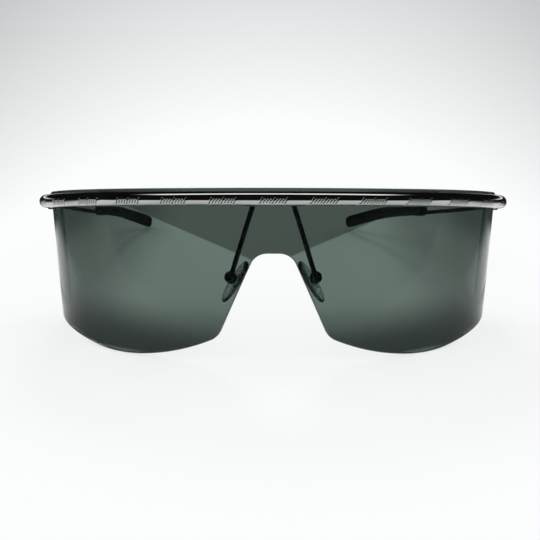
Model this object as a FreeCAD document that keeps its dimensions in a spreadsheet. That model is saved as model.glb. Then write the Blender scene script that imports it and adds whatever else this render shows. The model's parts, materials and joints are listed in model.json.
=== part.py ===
import FreeCAD, Part
import math
import os
import re
import Sketcher

# Shield sunglasses. Drawn with X to the right of the photo, Y from the lens back to the ears and Z up;
# the brow tube's axis lies in Z = 0 and the lens's front face passes through the origin.
# Millimetres and degrees. Left and right are as seen from the front.

doc = FreeCAD.newDocument("shield_sunglasses")
sheet = doc.addObject("Spreadsheet::Sheet", "Sizes")

sizes = [
    # lens: two tangent arcs in plan, tapering downward; its outline is drawn flat and wrapped round them
    ("lens_front_radius", 99),
    ("lens_side_radius", 48),
    ("lens_blend_angle", 25),
    ("lens_taper_angle", 5),
    ("lens_thickness", 2.0),
    ("lens_rise", 2.85),
    ("lens_drop", 43.2),
    ("lens_run", 94.3),
    ("lobe_run", 41.8),
    ("lobe_radius", 66),
    ("tail_angle", 12.3),
    ("nose_corner_radius", 5.5),
    ("rear_corner_radius", 9),
    ("notch_drop", 14.8),
    ("notch_half_width", 4.9),
    ("notch_side_angle", 25.3),
    ("notch_corner_radius", 5),
    # brow tube
    ("bar_diameter", 3.9),
    ("bar_wall", 0.8),
    ("bar_flat", 0.2),
    ("bar_tail", 4.0),
    ("bar_lens_gap", 0.12),
    # hinge
    ("barrel_diameter", 3.0),
    ("barrel_height", 4.6),
    ("knuckle_height", 2.0),
    ("knuckle_gap", 0.15),
    ("pin_diameter", 1.2),
    ("running_gap", 0.04),
    ("fitted_gap", 0.02),
    ("lug_flange", 0.8),
    ("lug_relief", 0.35),
    ("lug_spigot", 3.4),
    ("hinge_head_diameter", 2.3),
    ("hinge_head_height", 0.6),
    # temple
    ("temple_toe_angle", 4.7),
    ("temple_droop_angle", 1.5),
    ("blade_length", 54),
    ("blade_height", 4.4),
    ("blade_thickness", 1.5),
    ("blade_setback", 2.1),
    ("blade_corner_radius", 0.9),
    ("tongue_lap", 1.5),
    ("slot_start", 11),
    ("slot_length", 40),
    ("slot_height", 1.8),
    ("ferrule_length", 4.5),
    ("ferrule_height", 5.2),
    ("ferrule_thickness", 2.8),
    ("ferrule_edge_radius", 0.32),
    ("core_diameter", 1.3),
    ("core_length", 28),
    ("core_end_room", 1.0),
    ("tip_length", 61.5),
    ("tip_root_height", 4.3),
    ("tip_root_thickness", 2.4),
    ("tip_end_height", 5.0),
    ("tip_end_thickness", 2.6),
    ("tip_bend_drop", 3.8),
    ("tip_bend_inward", 7.5),
    ("tip_end_radius", 0.9),
    ("left_fold_angle", 0),
    ("right_fold_angle", 10.5),
    # screws, sleeves and washers that hold the lens
    ("screw_diameter", 1.4),
    ("screw_head_diameter", 2.4),
    ("screw_head_height", 0.7),
    ("screw_bite", 0.9),
    ("driver_slot", 0.4),
    ("lens_hole_diameter", 2.2),
    ("bridge_screw_reach", 2.3),
    ("end_screw_setback", 8.4),
    ("washer_diameter", 3.4),
    ("washer_thickness", 0.4),
    # nose bridge
    ("gasket_thickness", 0.3),
    ("plate_thickness", 0.9),
    ("plate_height", 3.2),
    ("plate_reach", 7.2),
    ("arm_diameter", 1.4),
    ("arm_root_reach", 4.75),
    ("arm_root_rise", 0.8),
    ("arm_root_setback", 0.3),
    ("box_diameter", 3.6),
    ("box_reach", 11.8),
    ("box_depth", 10.2),
    ("box_drop", 21.6),
    # nose pads
    ("pad_length", 13.2),
    ("pad_width", 6.4),
    ("pad_thickness", 2.0),
    ("pad_edge_radius", 0.9),
    ("pad_gap", 0.15),
    ("pad_shift", 0.5),
    ("pad_setback", 0.8),
    ("pad_seat_depth", 0.8),
    ("pad_lean_angle", 31),
    ("pad_splay_angle", 20),
    ("tab_thickness", 0.9),
    ("tab_radius", 0.95),
    ("tab_gap", 0.08),
    ("tab_room", 0.15),
    ("core_plate_length", 6.0),
    ("core_plate_width", 3.0),
    ("core_plate_thickness", 0.6),
    ("core_plate_cover", 0.1),
    ("pad_screw_diameter", 0.8),
    ("pad_screw_head", 1.2),
    ("pad_screw_head_height", 0.5),
    ("pad_screw_slot", 0.2),
    ("pad_screw_sink", 0.1),
]
for row, (name, value) in enumerate(sizes, 1):
    sheet.set("A%d" % row, name)
    sheet.set("B%d" % row, str(value))
    sheet.setAlias("B%d" % row, name)
doc.recompute()

# every size name has an underscore, so plain formulas can be written with the names alone
sideX = "((lens_front_radius - lens_side_radius) * sin(lens_blend_angle))"
tangentY = "(lens_front_radius - (lens_front_radius - lens_side_radius) * cos(lens_blend_angle))"
halfWidth = "(%s + lens_side_radius)" % sideX
blankAngle = ("(lens_blend_angle + 3 + (lens_run - lens_front_radius * lens_blend_angle * pi / 180)"
              " / lens_side_radius * 180 / pi)")
endAngle = ("(lens_blend_angle + (lens_run - end_screw_setback"
            " - lens_front_radius * lens_blend_angle * pi / 180)"
            " / lens_side_radius * 180 / pi)")
patternTop = "(lens_rise + 2)"  # the pattern runs past the blank's top, the blank past the pattern's foot
blankFoot = "(-lens_drop - 4)"
barOffset = "(bar_diameter / 2 - bar_flat + bar_lens_gap)"
boreDiameter = "(bar_diameter - 2 * bar_wall)"
lugReach = "(lug_flange + lug_relief + barrel_diameter / 2)"
hingeX = "(%s + %s)" % (halfWidth, barOffset)
hingeY = "(%s + bar_tail + %s)" % (tangentY, lugReach)
seatRear = "(%s + bar_tail + 2)" % tangentY
knuckleSpace = "(knuckle_height + 2 * knuckle_gap)"
ferruleEnd = "(blade_length + ferrule_length)"
lensWall = "(lens_thickness / cos(lens_taper_angle))"
seatRadius = "(box_diameter / 2 + pad_gap)"
padBack = "(%s - pad_seat_depth)" % seatRadius

vec = FreeCAD.Vector
turn = FreeCAD.Rotation
place = FreeCAD.Placement
upright = vec(0, 0, 1)
crosswise = turn(vec(0, 1, 0), 90)

overrun = 1.0  # how far a cutting tool runs past what it cuts
close = 0.01  # how near an edge or a face has to lie to count as in place
patternStep = 0.9  # spacing of the points that carry the flat pattern on to the lens
fineness = 0.02  # of the meshes that find the floor
straightShare = 0.4  # of the tip's length, ahead of its bend
swell = 1.5  # how late the tip widens
roundness = 0.8  # corner radius of the tip's section, as a share of half its thickness


def sized(formula):
    return re.sub(r"[a-z]+(_[a-z]+)+", r"Sizes.\g<0>", formula)


def number(formula):
    return float(sheet.evalExpression(sized(formula)))


def bind(target, **formulas):
    for prop, formula in formulas.items():
        target.setExpression(prop, sized(formula))
    return target


class Drawing:
    # a sketch, free or on one of its body's own planes, with its sizes held as constraints

    def __init__(self, name, body=None, plane=None):
        self.sketch = doc.addObject("Sketcher::SketchObject", name)
        if body:
            body.addObject(self.sketch)
            self.sketch.AttachmentSupport = [(origin_of(body, plane), "")]
            self.sketch.MapMode = "FlatFace"
        self.count = 0

    def line(self, start, end):
        return self.sketch.addGeometry(Part.LineSegment(vec(*start, 0), vec(*end, 0)), False)

    def lines(self, points):
        # a closed run of lines
        made = [self.line(points[i - 1], points[i]) for i in range(1, len(points))]
        made.append(self.line(points[-1], points[0]))
        for i, edge in enumerate(made):
            self.hold("Coincident", made[i - 1], 2, edge, 1)
        return made

    def arc(self, centre, radius, start, end):
        whole = Part.Circle(vec(*centre, 0), upright, radius)
        part = Part.ArcOfCircle(whole, math.radians(start), math.radians(end))
        return self.sketch.addGeometry(part, False)

    def circle(self, diameter):
        made = self.sketch.addGeometry(Part.Circle(vec(), upright, number(diameter) / 2), False)
        self.measure("Diameter", made, by=diameter)
        self.hold("Coincident", made, 3, -1, 1)

    def ring(self, centre, outer, inner):
        # two circles on the sketch's x axis
        for diameter in (outer, inner):
            shape = Part.Circle(vec(number(centre), 0, 0), upright, number(diameter) / 2)
            made = self.sketch.addGeometry(shape, False)
            self.hold("PointOnObject", made, 3, -1)
            self.measure("DistanceX", -1, 1, made, 3, by=centre)
            self.measure("Diameter", made, by=diameter)

    def rectangle(self, left, bottom, right, top):
        # sides given as formulas, measured from the sketch's origin
        x0, y0, x1, y1 = [number(side) for side in (left, bottom, right, top)]
        low, far, high, near = self.lines([(x0, y0), (x1, y0), (x1, y1), (x0, y1)])
        for edge in (low, high):
            self.hold("Horizontal", edge)
        for edge in (far, near):
            self.hold("Vertical", edge)
        self.measure("DistanceX", -1, 1, low, 1, by=left)
        self.measure("DistanceY", -1, 1, low, 1, by=bottom)
        self.measure("DistanceX", -1, 1, far, 2, by=right)
        self.measure("DistanceY", -1, 1, far, 2, by=top)
        return low, far, high, near

    def stadium(self, start, length, height):
        # a slot along the sketch's x axis
        x0, span, rise = number(start), number(length), number(height) / 2
        near = self.arc((x0 + rise, 0), rise, 90, 270)
        low = self.line((x0 + rise, -rise), (x0 + span - rise, -rise))
        far = self.arc((x0 + span - rise, 0), rise, -90, 90)
        high = self.line((x0 + span - rise, rise), (x0 + rise, rise))
        for a, b in ((near, low), (low, far), (far, high), (high, near)):
            self.hold("Tangent", a, 2, b, 1)
        self.hold("PointOnObject", near, 3, -1)
        self.hold("Horizontal", low)
        self.measure("Radius", near, by="(%s) / 2" % height)
        self.measure("DistanceX", -1, 1, near, 3, by="%s + (%s) / 2" % (start, height))
        self.measure("DistanceX", near, 3, far, 3, by="%s - (%s)" % (length, height))

    def hold(self, kind, *places):
        return self.sketch.addConstraint(Sketcher.Constraint(kind, *places))

    def measure(self, kind, *places, by):
        self.count += 1
        start = number(by)
        formula = sized(by)
        if kind == "Angle":
            start = math.radians(start)
            formula = "(%s) * 1 deg" % formula
        if number(by) < 0 and kind != "Angle":
            # a distance is held as a positive number, measured the other way round
            places = places[2:] + places[:2]
            start, formula = -start, "-(%s)" % formula
        index = self.sketch.addConstraint(Sketcher.Constraint(kind, *places, start))
        label = "size%d" % self.count
        self.sketch.renameConstraint(index, label)
        self.sketch.setExpression("Constraints." + label, formula)
        return index


def origin_of(body, role):
    return [part for part in body.Origin.OriginFeatures if part.Role == role][0]


def feature(body, kind, name, drawing=None, **settings):
    made = body.newObject("PartDesign::" + kind, name)
    if drawing is not None:
        made.Profile = drawing.sketch
    for key, value in settings.items():
        setattr(made, key, value)
    made.Refine = True
    return made


def pad(body, name, drawing, height):
    made = feature(body, "Pad", name, drawing, SideType="Symmetric")
    return bind(made, Length=height)


def cut_through(body, name, drawing):
    return feature(body, "Pocket", name, drawing, Type="ThroughAll", SideType="Symmetric")


def mirrored(body, name):
    doc.recompute()
    made = feature(body, "Mirrored", name, TransformMode="Whole shape")
    made.MirrorPlane = (origin_of(body, "YZ_Plane"), [""])
    body.Tip = made
    return made


def primitive(kind, name, where=None, **formulas):
    made = doc.addObject("Part::" + kind, name)
    if where is not None:
        made.Placement = where
    return bind(made, **formulas)


def joined(name, *pieces):
    made = doc.addObject("Part::MultiFuse", name)
    made.Shapes = list(pieces)
    made.Refine = True
    return made


def grouped(name, *pieces):
    made = doc.addObject("Part::Compound", name)
    made.Links = list(pieces)
    return made


def cut(name, base, *tools):
    made = doc.addObject("Part::Cut", name)
    made.Base = base
    made.Tool = tools[0] if len(tools) == 1 else grouped(name + "Tools", *tools)
    made.Refine = True
    return made


def box_at(name, where, length, width, height, lift="0"):
    # a box centred on its place in x and y, standing on it in z
    shift = vec(-number(length) / 2, -number(width) / 2, number(lift))
    return primitive("Box", name, where.multiply(place(shift, turn())),
                     Length=length, Width=width, Height=height)


def rod_at(name, where, diameter, height, lift="0"):
    start = where.multiply(place(vec(0, 0, number(lift)), turn()))
    return primitive("Cylinder", name, start, Radius="(%s) / 2" % diameter, Height=height)


def drill(name, where, diameter, height, lift="0"):
    # a rod that runs past both ends of what it cuts
    return rod_at(name, where, diameter, "%s + %g" % (height, 2 * overrun), "%s - %g" % (lift, overrun))


def edges_where(shape, test):
    return ["Edge%d" % (i + 1) for i, edge in enumerate(shape.Edges) if test(edge)]


def plan_arcs(drawing, offset, wrap):
    # the lens's two plan arcs, moved outward by an offset
    front, side, blend = number("lens_front_radius"), number("lens_side_radius"), number("lens_blend_angle")
    out = number(offset)
    middle = drawing.arc((0, front), front + out, -90, blend - 90)
    flank = drawing.arc((number(sideX), number(tangentY)), side + out, blend - 90, number(wrap) - 90)
    drawing.hold("Tangent", middle, 2, flank, 1)
    drawing.hold("PointOnObject", middle, 3, -2)
    drawing.hold("PointOnObject", middle, 1, -2)
    drawing.measure("DistanceY", -1, 1, middle, 3, by="lens_front_radius")
    drawing.measure("Radius", middle, by="lens_front_radius + (%s)" % offset)
    drawing.measure("Radius", flank, by="lens_side_radius + (%s)" % offset)
    drawing.measure("DistanceX", -1, 1, flank, 3, by=sideX)
    return middle, flank


def station(side, angle):
    # a place on the lens's inner face in the tube's plane; its z axis points out, square to the lens
    blend = number("lens_blend_angle")
    a, taper = math.radians(angle), math.radians(number("lens_taper_angle"))
    if angle > blend:
        centre = vec(number(sideX), number(tangentY), 0)
        radius = number("lens_side_radius - " + lensWall)
    else:
        centre = vec(0, number("lens_front_radius"), 0)
        radius = number("lens_front_radius - " + lensWall)
    out = vec(math.sin(a), -math.cos(a), 0)
    spot = centre + out * radius
    out.x *= side
    spot.x *= side
    square = out * math.cos(taper) - upright * math.sin(taper)
    return place(spot, turn(vec(-out.y, out.x, 0), upright, square, "ZXY"))


def bridge_station(side):
    reach = number("bridge_screw_reach") / number("lens_front_radius - " + lensWall)
    return station(side, math.degrees(math.asin(reach)))


def end_station(side):
    return station(side, number(endAngle))


sides = (("left", -1), ("right", 1))
stations = [bridge_station(side) for _, side in sides] + [end_station(side) for _, side in sides]


def make_pattern():
    # the right half of the lens's outline, flat as it is before wrapping:
    # notch, flank, nose corner, lobe, rear
    front = Drawing("LensPattern")
    lean = math.radians(number("notch_side_angle"))
    rise = math.radians(number("tail_angle"))
    top, half = -number("notch_drop"), number("notch_half_width")
    small, corner = number("notch_corner_radius"), number("nose_corner_radius")
    lobe, rear = number("lobe_radius"), number("rear_corner_radius")
    lobeAt = vec(number("lobe_run"), number("lobe_radius - lens_drop"), 0)
    cornerX = "notch_half_width - notch_corner_radius * tan((90 - notch_side_angle) / 2)"
    smallAt = vec(number(cornerX), top - small, 0)
    along = vec(math.sin(lean), -math.cos(lean), 0)
    across = vec(math.cos(lean), math.sin(lean), 0)
    base = vec(half, top, 0) + across * corner - lobeAt
    dot = base.dot(along)
    run = -dot + math.sqrt(dot ** 2 - base.dot(base) + (lobe - corner) ** 2)
    noseAt = lobeAt + base + along * run
    toNose = math.degrees(math.atan2(noseAt.y - lobeAt.y, noseAt.x - lobeAt.x)) % 360
    toTail = 270 + math.degrees(rise)
    climb = vec(math.cos(rise), math.sin(rise), 0)
    leave = lobeAt + vec(math.sin(rise), -math.cos(rise), 0) * lobe
    rearX = number("lens_run") - rear
    rearAt = leave + climb * ((rearX - leave.x + rear * math.sin(rise)) / climb.x)
    rearAt = rearAt + vec(-math.sin(rise), math.cos(rise), 0) * rear
    finish = rearAt + vec(math.sin(rise), -math.cos(rise), 0) * rear
    slope = math.degrees(lean)
    high = number(patternTop)
    begin = smallAt + across * small
    stop = noseAt - across * corner
    flat = front.line((0, top), (smallAt.x, top))
    bend = front.arc((smallAt.x, smallAt.y), small, slope, 90)
    flank = front.line((begin.x, begin.y), (stop.x, stop.y))
    nose = front.arc((noseAt.x, noseAt.y), corner, 180 + slope, toNose)
    belly = front.arc((lobeAt.x, lobeAt.y), lobe, toNose, toTail)
    tail = front.line((leave.x, leave.y), (finish.x, finish.y))
    heel = front.arc((rearAt.x, rearAt.y), rear, toTail, 360)
    back = front.line((number("lens_run"), rearAt.y), (number("lens_run"), high))
    front.hold("Tangent", flat, 2, bend, 2)
    front.hold("Tangent", bend, 1, flank, 1)
    for a, b in ((flank, nose), (nose, belly), (belly, tail), (tail, heel), (heel, back)):
        front.hold("Tangent", a, 2, b, 1)
    front.hold("Horizontal", flat)
    front.hold("Vertical", back)
    front.hold("PointOnObject", flat, 1, -2)
    front.measure("DistanceY", -1, 1, flat, 1, by="-notch_drop")
    front.measure("DistanceX", -1, 1, bend, 3, by=cornerX)
    front.measure("Radius", bend, by="notch_corner_radius")
    front.measure("Angle", flank, by="notch_side_angle - 90")
    front.measure("Radius", nose, by="nose_corner_radius")
    front.measure("Radius", belly, by="lobe_radius")
    front.measure("DistanceX", -1, 1, belly, 3, by="lobe_run")
    front.measure("DistanceY", -1, 1, belly, 3, by="lobe_radius - lens_drop")
    front.measure("Angle", tail, by="tail_angle")
    front.measure("Radius", heel, by="rear_corner_radius")
    front.measure("DistanceX", -1, 1, back, 2, by="lens_run")
    front.measure("DistanceY", -1, 1, back, 2, by=patternTop)
    doc.recompute()
    return front.sketch


def wrap(run, height, offset):
    # a point of the flat pattern on the lens's front face, moved square out from it by an offset
    blend, taper = math.radians(number("lens_blend_angle")), math.radians(number("lens_taper_angle"))
    frontR, sideR = number("lens_front_radius"), number("lens_side_radius")
    side = 1 if run >= 0 else -1
    run = abs(run)
    if run <= frontR * blend:
        centre, radius, angle = vec(0, frontR, 0), frontR, run / frontR
    else:
        centre, radius = vec(number(sideX), number(tangentY), 0), sideR
        angle = blend + (run - frontR * blend) / sideR
    reach = radius + height * math.tan(taper) + offset * math.cos(taper)
    spot = centre + vec(math.sin(angle), -math.cos(angle), 0) * reach
    return vec(side * spot.x, spot.y, height - offset * math.sin(taper))


def bent(body, name, draw, wrapAngle):
    # a section turned round the upright axes of the lens's two arcs, one after the other
    arcs = (("Front", "lens_front_radius", "lens_front_radius", "0", "0", "lens_blend_angle"),
            ("Side", "lens_side_radius", tangentY, sideX, "lens_blend_angle",
             wrapAngle + " - lens_blend_angle"))
    for tag, radius, back, out, facing, sweep in arcs:
        drawing = Drawing(name + "Section" + tag, body, "YZ_Plane")
        draw(drawing, radius)
        drawing.sketch.AttachmentOffset = place(vec(), turn(vec(0, 1, 0), number(facing)))
        bind(drawing.sketch, **{"AttachmentOffset.Base.x": back, "AttachmentOffset.Base.z": out})
        if number(facing):
            bind(drawing.sketch, **{"AttachmentOffset.Rotation.Angle": facing})
        bow = feature(body, "Revolution", name + tag, drawing)
        bow.ReferenceAxis = (drawing.sketch, ["V_Axis"])
        bind(bow, Angle=sweep)


def lens_section(drawing, radius):
    # the lens's wall, cut upright: both faces lean with the taper
    spots = []
    for height in ("lens_rise", blankFoot):
        outer = "-(%s) - (%s) * tan(lens_taper_angle)" % (radius, height)
        spots.append([(outer, height), (outer + " + " + lensWall, height)])
    corners = [spots[0][0], spots[0][1], spots[1][1], spots[1][0]]
    edges = drawing.lines([(number(x), number(y)) for x, y in corners])
    for edge, (x, y) in zip(edges, corners):
        drawing.measure("DistanceX", -1, 1, edge, 1, by=x)
        drawing.measure("DistanceY", -1, 1, edge, 1, by=y)


def make_lens():
    body = doc.addObject("PartDesign::Body", "LensBlank")
    bent(body, "LensWall", lens_section, blankAngle)
    mirrored(body, "LensWhole")
    pattern = make_pattern()

    # the wrapped outline becomes a surface that stands square to the lens all the way round, and trims it
    half = Part.Wire(Part.__sortEdges__(pattern.Shape.Edges)).discretize(Distance=patternStep)
    if half[0].x > half[-1].x:
        half.reverse()
    whole = [vec(-at.x, at.y, 0) for at in reversed(half[1:])] + half
    rails = []
    for offset in (overrun, -overrun - number("lens_thickness")):
        rail = Part.BSplineCurve()
        rail.interpolate([wrap(at.x, at.y, offset) for at in whole])
        rails.append(rail.toShape())
    trimmer = Part.makeRuledSurface(*rails)
    pieces = body.Shape.Solids[0].generalFuse([trimmer])[1][0]
    middle = vec(0, number("lens_thickness") / 2, 0)
    trimmed = doc.addObject("Part::Feature", "LensTrimmed")
    trimmed.Shape = [piece for piece in pieces if piece.isInside(middle, close, True)][0]
    drills = [drill("LensDrill%d" % i, spot, "lens_hole_diameter", "lens_thickness")
              for i, spot in enumerate(stations)]
    return cut("shield_lens", trimmed, *drills)


def bar_section(drawing, radius):
    drawing.ring("-%s - %s" % (radius, barOffset), "bar_diameter", boreDiameter)


def make_bar():
    body = doc.addObject("PartDesign::Body", "BarBlank")
    bent(body, "Bar", bar_section, "90")
    stub = Drawing("BarRingTail", body, "XZ_Plane")
    stub.ring(hingeX, "bar_diameter", boreDiameter)
    bind(stub.sketch, **{"AttachmentOffset.Base.z": "-" + tangentY})
    bind(feature(body, "Pad", "BarTail", stub, Reversed=True), Length="bar_tail")

    # the back of the tube is cut to the lens's own curve
    seat = Drawing("BarSeat", body, "XY_Plane")
    front, side = plan_arcs(seat, "bar_lens_gap", "90")
    end = seat.sketch.getPoint(side, 2)
    rear = number(seatRear)
    out = seat.line((end.x, end.y), (end.x, rear))
    across = seat.line((end.x, rear), (0, rear))
    back = seat.line((0, rear), (0, -number("bar_lens_gap")))
    seat.hold("Tangent", side, 2, out, 1)
    for a, b in ((out, across), (across, back), (back, front)):
        seat.hold("Coincident", a, 2, b, 1)
    seat.hold("Vertical", out)
    seat.hold("Horizontal", across)
    seat.hold("PointOnObject", across, 2, -2)
    seat.measure("DistanceY", -1, 1, across, 1, by=seatRear)
    cut_through(body, "BarFlat", seat)
    mirrored(body, "BarWhole")

    # screw holes from the lens's face to the tube's axis
    drills = [rod_at("BarDrill%d" % i, spot, "screw_diameter + 2 * fitted_gap", barOffset, "lens_thickness")
              for i, spot in enumerate(stations)]
    return cut("brow_bar", body, *drills)


def make_lug(name):
    # drawn about the hinge axis; the tube ends in front of it
    body = doc.addObject("PartDesign::Body", name)
    plug = Drawing(name + "Plug", body, "XY_Plane")
    rim, bore = "bar_diameter / 2", boreDiameter + " / 2 - fitted_gap"
    mouth = "-" + lugReach
    y0, y1, y2 = number(mouth + " - lug_spigot"), number(mouth), number(mouth + " + lug_flange")
    x0, x1 = number(bore), number(rim)
    points = [(0, y0), (x0, y0), (x0, y1), (x1, y1), (x1, y2), (0, y2)]
    edges = plug.lines(points)
    for index in (0, 2, 4):
        plug.hold("Horizontal", edges[index])
    for index in (1, 3, 5):
        plug.hold("Vertical", edges[index])
    plug.hold("PointOnObject", edges[0], 1, -2)
    plug.measure("DistanceX", -1, 1, edges[1], 1, by=bore)
    plug.measure("DistanceX", -1, 1, edges[3], 1, by=rim)
    plug.measure("DistanceY", -1, 1, edges[0], 1, by=mouth + " - lug_spigot")
    plug.measure("DistanceY", -1, 1, edges[2], 1, by=mouth)
    plug.measure("DistanceY", -1, 1, edges[4], 1, by=mouth + " + lug_flange")
    turned = feature(body, "Revolution", name + "Turned", plug)
    turned.ReferenceAxis = (plug.sketch, ["V_Axis"])
    turned.Angle = 360

    leaf = Drawing(name + "Leaf", body, "XY_Plane")
    r, y = number("barrel_diameter / 2"), number(mouth + " + lug_flange / 2")
    cap = leaf.arc((0, 0), r, 0, 180)
    left = leaf.line((-r, 0), (-r, y))
    low = leaf.line((-r, y), (r, y))
    right = leaf.line((r, y), (r, 0))
    leaf.hold("Tangent", cap, 2, left, 1)
    leaf.hold("Coincident", left, 2, low, 1)
    leaf.hold("Coincident", low, 2, right, 1)
    leaf.hold("Tangent", right, 2, cap, 1)
    leaf.hold("Coincident", cap, 3, -1, 1)
    leaf.hold("Horizontal", low)
    leaf.hold("Vertical", left)
    leaf.measure("Radius", cap, by="barrel_diameter / 2")
    leaf.measure("DistanceY", -1, 1, low, 1, by=mouth + " + lug_flange / 2")
    pad(body, name + "Barrel", leaf, "barrel_height")

    gap = Drawing(name + "Gap", body, "YZ_Plane")
    gap.rectangle(mouth + " + lug_flange", "-%s / 2" % knuckleSpace,
                  "barrel_diameter", knuckleSpace + " / 2")
    cut_through(body, name + "Fork", gap)
    hole = Drawing(name + "Hole", body, "XY_Plane")
    hole.circle("pin_diameter + 2 * running_gap")
    cut_through(body, name + "Bore", hole)
    return body


def make_hinge_screw(name):
    low = place()
    shank = rod_at(name + "Shank", low, "pin_diameter", "barrel_height + fitted_gap", "-barrel_height / 2")
    head = rod_at(name + "Head", low, "hinge_head_diameter", "hinge_head_height",
                  "barrel_height / 2 + fitted_gap")
    slot = box_at(name + "Slot", low, "2 * hinge_head_diameter", "driver_slot", "hinge_head_height",
                  "barrel_height / 2 + hinge_head_height / 2")
    return cut(name, joined(name + "Turned", shank, head), slot)


def drooped(drawing):
    drawing.sketch.AttachmentOffset = place(vec(), turn(upright, -number("temple_droop_angle")))
    drawing.sketch.setExpression("AttachmentOffset.Rotation.Angle", sized("-temple_droop_angle"))
    return drawing


def make_blade(name):
    body = doc.addObject("PartDesign::Body", name + "Blank")
    eye = Drawing(name + "Eye", body, "XY_Plane")
    eye.circle("barrel_diameter")
    pad(body, name + "Knuckle", eye, "knuckle_height")
    neck = Drawing(name + "Neck", body, "YZ_Plane")
    neck.rectangle("0", "-knuckle_height / 2", "blade_setback + tongue_lap", "knuckle_height / 2")
    pad(body, name + "Tongue", neck, "blade_thickness")
    side = drooped(Drawing(name + "Side", body, "YZ_Plane"))
    side.rectangle("blade_setback", "-blade_height / 2",
                   "blade_length + ferrule_length / 2", "blade_height / 2")
    pad(body, name + "Plate", side, "blade_thickness")
    slot = drooped(Drawing(name + "SlotShape", body, "YZ_Plane"))
    slot.stadium("slot_start", "slot_length", "slot_height")
    cut_through(body, name + "Slot", slot)
    box = drooped(Drawing(name + "FerruleShape", body, "YZ_Plane"))
    box.rectangle("blade_length", "-ferrule_height / 2", ferruleEnd, "ferrule_height / 2")
    pad(body, name + "Ferrule", box, "ferrule_thickness")
    hole = Drawing(name + "Hole", body, "XY_Plane")
    hole.circle("pin_diameter + 2 * running_gap")
    last = cut_through(body, name + "Bore", hole)
    doc.recompute()

    # hand-friendly corners at the front of the plate and round the ferrule
    droop = turn(vec(1, 0, 0), number("temple_droop_angle"))
    setback, start, end = number("blade_setback"), number("blade_length"), number(ferruleEnd)
    tall = number("blade_height") / 2

    def front_corner(edge):
        at = droop.multVec(edge.CenterOfMass)
        return abs(at.y - setback) < close and abs(abs(at.z) - tall) < close

    def ferrule_edge(edge):
        ends = [droop.multVec(v.Point) for v in edge.Vertexes]
        middle = droop.multVec(edge.CenterOfMass)
        thick = number("ferrule_thickness") / 2
        high = number("ferrule_height") / 2
        outside = abs(abs(middle.x) - thick) < close or abs(abs(middle.z) - high) < close
        within = all(start - close < at.y < end + close for at in ends)
        return outside and within and middle.y < end - close

    corners = feature(body, "Fillet", name + "Corners", Base=(last, edges_where(last.Shape, front_corner)))
    bind(corners, Radius="blade_corner_radius")
    doc.recompute()
    soft = feature(body, "Fillet", name + "Soft", Base=(corners, edges_where(corners.Shape, ferrule_edge)))
    bind(soft, Radius="ferrule_edge_radius")
    back = turn(vec(1, 0, 0), -number("temple_droop_angle") - 90)
    core = rod_at(name + "Core", place(vec(), back), "core_diameter", "core_length + ferrule_length / 2",
                  ferruleEnd + " - ferrule_length / 2")
    return joined(name, body, core)


def section(name, where, height, thickness):
    # a rounded rectangle for the tip's loft, thickness along x and height along y
    drawing = Drawing(name)
    sketch = drawing.sketch
    h, t = number(height) / 2, number(thickness) / 2
    corner = roundness * t
    spots = ((t - corner, h - corner, 0), (corner - t, h - corner, 90),
             (corner - t, corner - h, 180), (t - corner, corner - h, 270))
    arcs = [drawing.arc((x, y), corner, a, a + 90) for x, y, a in spots]
    for i in range(4):
        start, end = sketch.getPoint(arcs[i], 2), sketch.getPoint(arcs[(i + 1) % 4], 1)
        edge = drawing.line((start.x, start.y), (end.x, end.y))
        drawing.hold("Tangent", arcs[i], 2, edge, 1)
        drawing.hold("Tangent", edge, 2, arcs[(i + 1) % 4], 1)
        drawing.hold("Vertical" if i % 2 else "Horizontal", edge)
    for i in range(1, 4):
        drawing.hold("Equal", arcs[0], arcs[i])
    drawing.hold("Symmetric", arcs[0], 3, arcs[2], 3, -1, 1)
    radius = "(%g * (%s) / 2)" % (roundness, thickness)
    drawing.measure("Radius", arcs[0], by=radius)
    drawing.measure("DistanceX", arcs[1], 3, arcs[0], 3, by="%s - 2 * %s" % (thickness, radius))
    drawing.measure("DistanceY", arcs[3], 3, arcs[0], 3, by="%s - 2 * %s" % (height, radius))
    sketch.Placement = where
    return sketch


def make_tip(name, side):
    # swept from the ferrule: straight for the core, then down and inward to a blunt end
    length, droop = number("tip_length"), number("temple_droop_angle")
    start = number(ferruleEnd + " + fitted_gap")
    shares = (0, 0.22, 0.45, 0.62, 0.78, 0.9, 1)

    def bend(share):
        past = max(0, share - straightShare) / (1 - straightShare)
        return past ** 2, 2 * past / (1 - straightShare)

    sections = []
    for i, share in enumerate(shares):
        value, slope = bend(share)
        down = math.degrees(math.atan(slope * number("tip_bend_drop") / length))
        inward = math.degrees(math.atan(slope * number("tip_bend_inward") / length))
        at = vec(-side * value * number("tip_bend_inward"), start + share * length,
                 -value * number("tip_bend_drop"))
        lean = turn(vec(1, 0, 0), -droop)
        facing = lean.multiply(turn(upright, side * inward)).multiply(turn(vec(1, 0, 0), 90 - down))
        mix = "tip_root_%s + (tip_end_%s - tip_root_%s) * " + "%.4f" % share ** swell
        where = place(lean.multVec(at), facing)
        sections.append(section(name + "Section%d" % i, where, "(" + mix % (("height",) * 3) + ")",
                                "(" + mix % (("thickness",) * 3) + ")"))
    loft = doc.addObject("Part::Loft", name + "Loft")
    loft.Sections = sections
    loft.Solid = True
    back = turn(vec(1, 0, 0), -droop - 90)
    bore = rod_at(name + "Bore", place(vec(), back), "core_diameter + 2 * fitted_gap",
                  "core_length + core_end_room", ferruleEnd)
    doc.recompute()
    inverse = sections[-1].Placement.inverse()
    names = edges_where(loft.Shape, lambda edge: all(abs(inverse.multVec(v.Point).z) < close
                                                     for v in edge.Vertexes))
    blunt = doc.addObject("Part::Fillet", name + "Blunt")
    blunt.Base = loft
    radius = number("tip_end_radius")
    blunt.Edges = [(int(edge[4:]), radius, radius) for edge in names]
    return cut(name, blunt, bore)


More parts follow.
